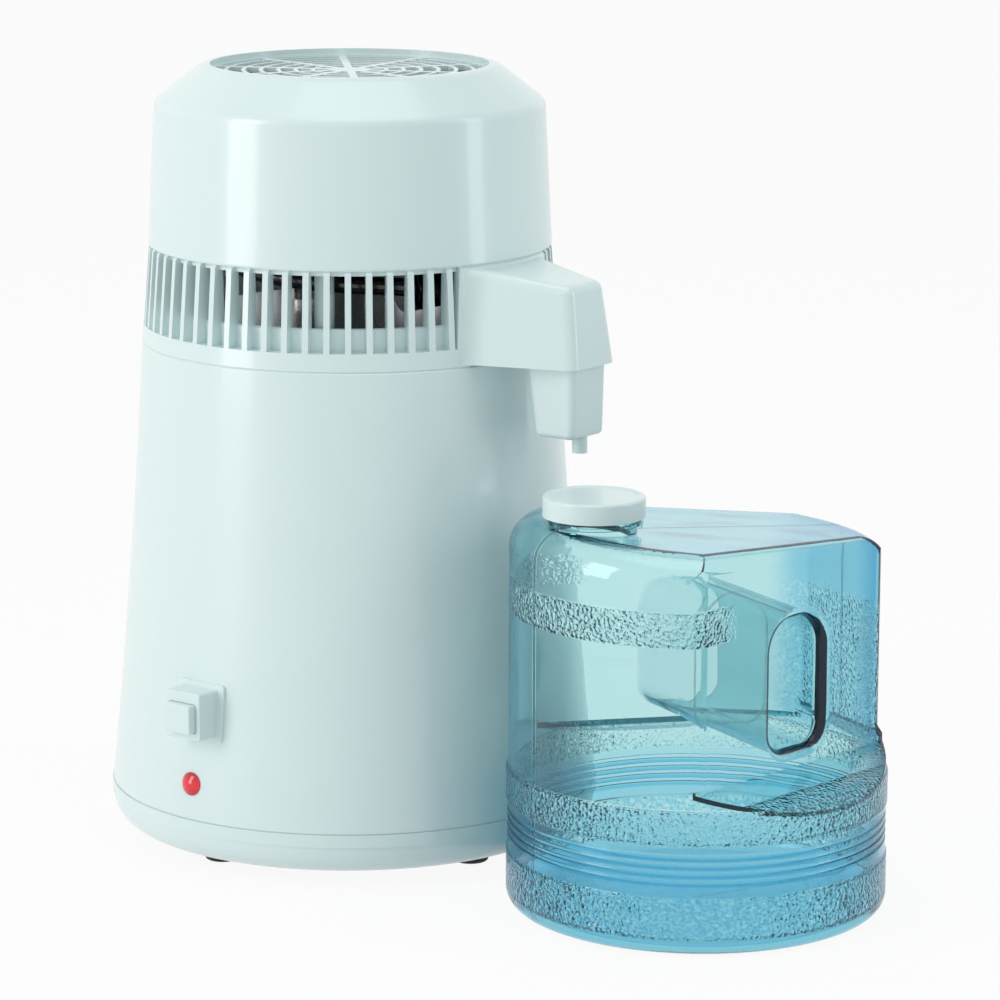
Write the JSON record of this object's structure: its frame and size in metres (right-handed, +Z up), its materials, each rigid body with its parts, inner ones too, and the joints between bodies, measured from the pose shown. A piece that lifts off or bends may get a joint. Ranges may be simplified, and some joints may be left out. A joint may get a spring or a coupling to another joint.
{
  "type": "countertop water distiller",
  "caption": "Countertop water distiller: white round boiler with a slatted fan head and outlet arm over a clear blue collecting jug with a handle and cap.",
  "frame": {"origin": "on the boiler's own axis, in the plane of the undersides of its four feet", "axes": "+Z up along the boiler's axis, the front with the button and lamp towards -Y and -X, the outlet arm and jug towards +X and -Y"},
  "size_m": [0.356, 0.3344, 0.3676],
  "materials": {
    "black_alloy": "gloss black coated",
    "black_plastic": "black satin",
    "black_rubber": "matte black",
    "brass_plain": "bare brass",
    "cap_white": "glossy white",
    "cast_alloy": "pressed aluminium",
    "charcoal_bag": "non-woven bag over charcoal granules",
    "grey_silicone": "pale grey silicone",
    "jug_blue": "clear blue tinted plastic, polished and stippled",
    "phenolic": "moulded brown-black insulator",
    "plated_steel": "zinc-plated steel",
    "red_lens": "translucent red",
    "sheath_steel": "dull sheath steel",
    "stainless": "drawn stainless steel",
    "white_gloss": "glossy injection-moulded white",
    "white_satin": "satin white moulding"
  },
  "bodies": {
    "boiler": {"base_tray": "white_gloss", "rubber_feet": "black_rubber", "base_screws": "plated_steel", "housing_shell": "white_gloss", "button_box": "white_satin", "start_switch": "black_plastic", "lamp_lens": "red_lens", "lamp_body": "black_plastic", "power_inlet": "black_plastic", "inlet_pins": "brass_plain", "inlet_screws": "plated_steel", "fan_socket": "black_plastic", "fan_socket_pins": "brass_plain", "boiling_chamber": "stainless", "heat_plate": "cast_alloy", "heating_element": "sheath_steel", "element_terminals": "plated_steel", "boil_dry_cutout": "phenolic", "reset_thermostat": "phenolic", "thermostat_strap": "plated_steel", "strap_screws": "plated_steel", "button_spring": "plated_steel"},
    "button": {"push_button": "white_satin"},
    "head": {"vent_ring": "white_gloss", "arm_base": "white_satin", "outlet_grommet": "grey_silicone", "pan_gasket": "grey_silicone", "condenser_pan": "stainless", "condenser_coil": "black_alloy", "condenser_fins": "black_alloy", "fan_motor": "plated_steel", "motor_bracket": "plated_steel", "bracket_screws": "plated_steel", "top_cover": "white_gloss", "head_screws": "plated_steel", "top_grille": "white_gloss", "head_socket": "black_plastic", "head_socket_pins": "brass_plain"},
    "fan": {"fan_blades": "black_plastic", "fan_shaft": "plated_steel"},
    "filter": {"filter_cup": "white_gloss", "filter_screen": "stainless", "charcoal_sachet": "charcoal_bag"},
    "jug": {"jug_body": "jug_blue"},
    "cap": {"jug_cap": "cap_white"},
    "liner": {"cap_liner": "grey_silicone"}
  },
  "joints": [
    {"name": "button_press", "type": "slide", "parent": "boiler", "child": "button", "axis": [0.6374, 0.7705, 0], "range_m": [0, 0.0025], "stiffness_N_per_m": 600, "deforming": ["button_spring"]},
    {"name": "head_lift", "type": "slide", "parent": "boiler", "child": "head", "axis": [0, 0, 1], "range_m": [0, 0.15]},
    {"name": "fan_spin", "type": "hinge", "parent": "head", "child": "fan", "pos_m": [0, 0, 0.3], "axis": [0, 0, 1], "continuous": true},
    {"name": "filter_pull", "type": "slide", "parent": "head", "child": "filter", "axis": [0, 0, -1], "range_m": [0, 0.014]},
    {"name": "jug_slide", "type": "slide", "parent": "boiler", "child": "jug", "axis": [0.7672, -0.6414, 0], "range_m": [0, 0.2]},
    {"name": "cap_rise", "type": "slide", "parent": "jug", "child": "liner", "axis": [0, 0, 1], "range_m": [0, 0.008]},
    {"name": "cap_turn", "type": "hinge", "parent": "liner", "child": "cap", "pos_m": [0.10644, -0.15434, 0.188], "axis": [0, 0, 1], "range_deg": [0, 721]}
  ],
  "couplings": [
    {"joint": "cap_turn", "follows": "cap_rise", "rad_per_m": 1570.8}
  ]
}
